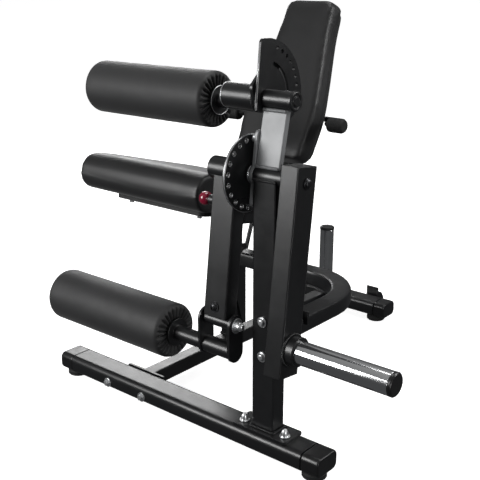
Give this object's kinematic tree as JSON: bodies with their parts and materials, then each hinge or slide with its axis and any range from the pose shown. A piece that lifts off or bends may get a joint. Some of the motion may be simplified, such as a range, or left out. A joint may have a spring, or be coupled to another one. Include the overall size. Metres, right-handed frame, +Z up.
{
  "type": "leg extension machine",
  "caption": "Plate-loaded seated leg extension and curl machine: padded seat and back, two foam rollers, swinging weight lever with a chrome horn on a black steel frame.",
  "frame": {"origin": "on the floor, in the middle of the machine's bounding box", "axes": "+X across the machine towards the weight lever, -Y to the front (the user's feet), +Z up"},
  "size_m": [1.019, 1.0288, 0.9746],
  "materials": {
    "frame_black": "satin black powder coat with a fine orange-peel texture",
    "bar_silver": "light grey satin metallic paint",
    "chrome": "polished chrome plate",
    "zinc": "bright zinc plated fasteners",
    "rubber": "matt black rubber",
    "black_plastic": "moulded black plastic, fine grain",
    "red_plastic": "dark red glossy plastic",
    "roller_foam": "black leatherette over foam, gathered at the ends",
    "pad_vinyl": "matt black upholstery vinyl with a fine grain",
    "pad_board": "black-faced plywood backing board"
  },
  "bodies": {
    "frame": {"front_stabiliser": "frame_black", "rear_stabiliser": "frame_black", "main_tube": "frame_black", "wheel_bracket_left": "frame_black", "wheel_bracket_right": "frame_black", "tower_post": "frame_black", "pivot_housing": "frame_black", "top_housing": "frame_black", "quadrant_plate": "frame_black", "top_pivot_bolt": "frame_black", "ring_tube": "frame_black", "stop_bracket": "frame_black", "centre_post": "frame_black", "seat_mount": "frame_black", "back_receiver": "frame_black", "back_strut": "frame_black", "roller_bar": "bar_silver", "splice_bar": "bar_silver", "storage_post": "chrome", "base_bolt_left": "zinc", "base_bolt_right": "zinc", "ring_bolt_lower": "zinc", "ring_bolt_upper": "zinc", "front_foot_left": "rubber", "front_foot_right": "rubber", "rear_foot_left": "rubber", "rear_foot_right": "rubber", "stop_bumper": "rubber", "front_end_cap_left": "black_plastic", "front_end_cap_right": "black_plastic", "rear_end_cap_left": "black_plastic", "rear_end_cap_right": "black_plastic", "storage_cap": "black_plastic", "seat_pad": "pad_vinyl", "seat_board": "pad_board"},
    "wheel_left": {"transport_wheel_left": "black_plastic"},
    "wheel_right": {"transport_wheel_right": "black_plastic"},
    "back_rest": {"back_carrier": "frame_black", "back_board": "pad_board", "back_pad": "pad_vinyl", "handle_bar": "frame_black", "handle_grip_left": "rubber", "handle_grip_right": "rubber"},
    "back_lock": {"back_pin": "black_plastic"},
    "thigh_hold": {"thigh_arm": "frame_black"},
    "thigh_lock": {"thigh_pin": "black_plastic"},
    "thigh_pad": {"thigh_roller": "roller_foam"},
    "drive": {"main_shaft": "chrome", "range_disc": "frame_black", "weight_lever": "frame_black", "lever_bolt": "zinc", "weight_horn": "chrome", "horn_collar": "frame_black", "horn_cap": "black_plastic"},
    "swing": {"swing_arm": "frame_black"},
    "range_lock": {"range_pin": "red_plastic"},
    "carriage": {"ankle_carriage": "frame_black", "carriage_bolt": "zinc", "ankle_shaft": "frame_black"},
    "ankle_pad": {"ankle_roller": "roller_foam"}
  },
  "joints": [
    {"name": "wheel_left_spin", "type": "hinge", "parent": "frame", "child": "wheel_left", "pos_m": [-0.4125, 0.49542, 0.046], "axis": [1, 0, 0], "continuous": true},
    {"name": "wheel_right_spin", "type": "hinge", "parent": "frame", "child": "wheel_right", "pos_m": [-0.1025, 0.49542, 0.046], "axis": [1, 0, 0], "continuous": true},
    {"name": "lever_swing", "type": "hinge", "parent": "frame", "child": "drive", "pos_m": [-0.2575, -0.40988, 0.641], "axis": [-1, 0, 0], "range_deg": [0, 95]},
    {"name": "start_angle", "type": "hinge", "parent": "drive", "child": "swing", "pos_m": [-0.2575, -0.40988, 0.641], "axis": [-1, 0, 0], "range_deg": [-15, 45]},
    {"name": "range_pin_pull", "type": "slide", "parent": "swing", "child": "range_lock", "axis": [-1, 0, 0], "range_m": [0, 0.012], "stiffness_N_per_m": 900, "springref_m": -0.012},
    {"name": "carriage_swing", "type": "hinge", "parent": "swing", "child": "carriage", "pos_m": [-0.2575, -0.44942, 0.30935], "axis": [-1, 0, 0], "range_deg": [-40, 40]},
    {"name": "ankle_roller_spin", "type": "hinge", "parent": "carriage", "child": "ankle_pad", "pos_m": [-0.2575, -0.44942, 0.24505], "axis": [1, 0, 0], "continuous": true},
    {"name": "thigh_angle", "type": "hinge", "parent": "frame", "child": "thigh_hold", "pos_m": [-0.2575, -0.38388, 0.795], "axis": [-1, 0, 0], "range_deg": [0, 36]},
    {"name": "thigh_pin_pull", "type": "slide", "parent": "thigh_hold", "child": "thigh_lock", "axis": [-1, 0, 0], "range_m": [0, 0.012], "stiffness_N_per_m": 900, "springref_m": -0.012},
    {"name": "thigh_roller_spin", "type": "hinge", "parent": "thigh_hold", "child": "thigh_pad", "pos_m": [-0.2575, -0.29488, 0.764], "axis": [1, 0, 0], "continuous": true},
    {"name": "back_slide", "type": "slide", "parent": "frame", "child": "back_rest", "axis": [0, -0.9863, 0.165], "range_m": [-0.045, 0.045]},
    {"name": "back_pin_pull", "type": "slide", "parent": "frame", "child": "back_lock", "axis": [1, 0, 0], "range_m": [0, 0.012], "stiffness_N_per_m": 900, "springref_m": -0.012}
  ]
}
